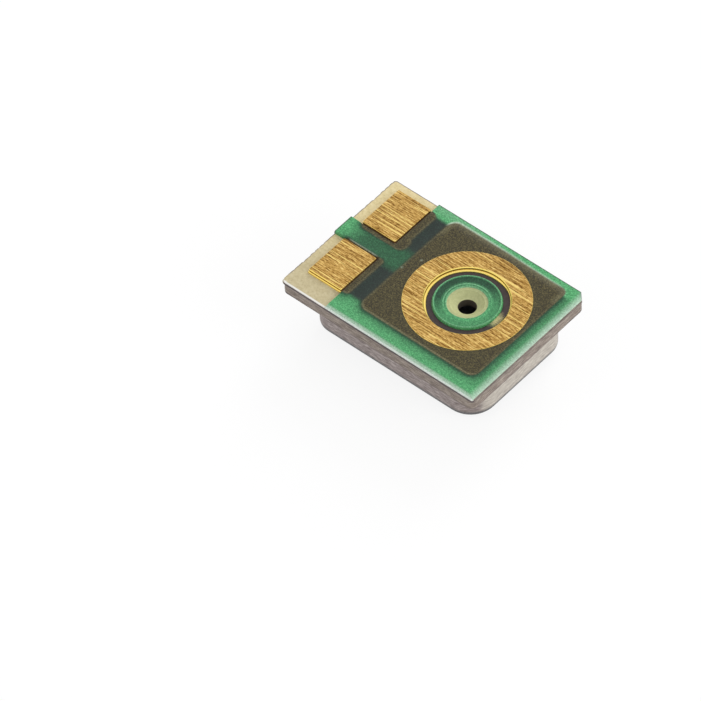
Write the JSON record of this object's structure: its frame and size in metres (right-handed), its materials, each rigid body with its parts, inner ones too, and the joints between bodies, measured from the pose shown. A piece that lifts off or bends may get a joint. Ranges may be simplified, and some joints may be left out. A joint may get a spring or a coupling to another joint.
{
  "type": "phone microphone",
  "caption": "Surface-mount bottom-port MEMS microphone: a drawn metal can on a small green board with gold solder pads and a gold ring round the sound port.",
  "frame": {"origin": "under the middle of the board, on the flat face of the can, which is the face that the part rests on", "axes": "+X along the board from the end with two pads to the end with the ring, +Y towards the supply pad's long edge, +Z out of the solder pads"},
  "size_m": [0.0034, 0.0024, 0.001],
  "materials": {
    "laminate": "bare glass-fibre laminate, matt",
    "solder_mask": "green printed film, satin",
    "copper": "etched copper",
    "gold": "gold plating, brushed one way",
    "can_metal": "drawn sheet, brushed, satin",
    "solder": "reflowed solder, uneven",
    "silicon": "polished silicon",
    "die_glass": "grown oxide",
    "die_metal": "sputtered aluminium",
    "adhesive": "silicone adhesive",
    "attach_film": "die attach film"
  },
  "bodies": {
    "root": {"board_core": "laminate", "outer_solder_mask": "solder_mask", "port_mask_ring": "solder_mask", "inner_solder_mask": "solder_mask", "ground_plane": "copper", "supply_land": "copper", "output_land": "copper", "can_land": "copper", "supply_via": "copper", "output_via": "copper", "ground_vias": "copper", "ground_ring": "gold", "supply_pad": "gold", "output_pad": "gold", "supply_bond_pad": "gold", "output_bond_pad": "gold", "ground_bond_pad": "gold", "bias_wire": "gold", "signal_wire": "gold", "supply_wire": "gold", "output_wire": "gold", "ground_wire": "gold", "can": "can_metal", "solder_seam": "solder", "mems_die_attach": "adhesive", "mems_die": "silicon", "diaphragm": "silicon", "diaphragm_spacer": "die_glass", "backplate": "silicon", "mems_bond_pads": "die_metal", "asic_attach": "attach_film", "asic_die": "silicon", "asic_bond_pads": "die_metal"}
  },
  "joints": []
}
